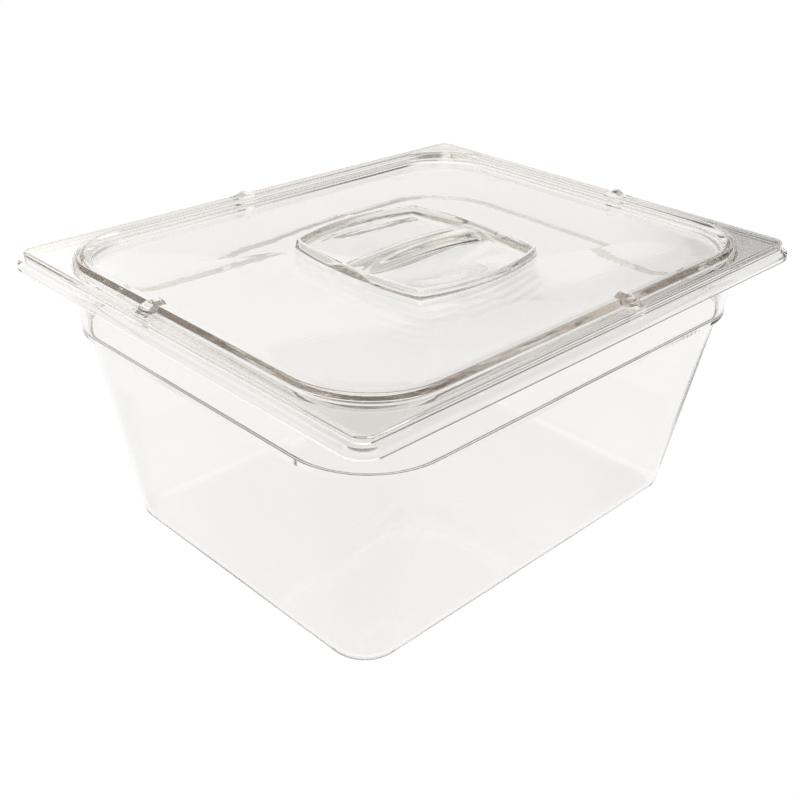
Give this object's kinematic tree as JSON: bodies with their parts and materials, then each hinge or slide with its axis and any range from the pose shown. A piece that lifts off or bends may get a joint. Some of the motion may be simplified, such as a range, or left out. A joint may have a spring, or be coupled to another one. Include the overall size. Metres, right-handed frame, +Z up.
{
  "type": "food pan with lid",
  "caption": "Clear plastic half-size gastronorm food pan with tapered walls, stacking ledge and hanging flange, closed by a clear hard lid with a moulded recessed grip.",
  "frame": {"origin": "middle of the pan's underside, on the surface it stands on", "axes": "+Z up, +X along the short side, +Y along the long side"},
  "size_m": [0.265, 0.325, 0.1607],
  "materials": {
    "clear_pan": "gloss",
    "clear_lid": "gloss"
  },
  "bodies": {
    "pan": {"pan": "clear_pan"},
    "lid": {"lid": "clear_lid"}
  },
  "joints": [
    {"name": "lid_lift", "type": "slide", "parent": "pan", "child": "lid", "axis": [0, 0, 1], "range_m": [0, 0.2]}
  ]
}
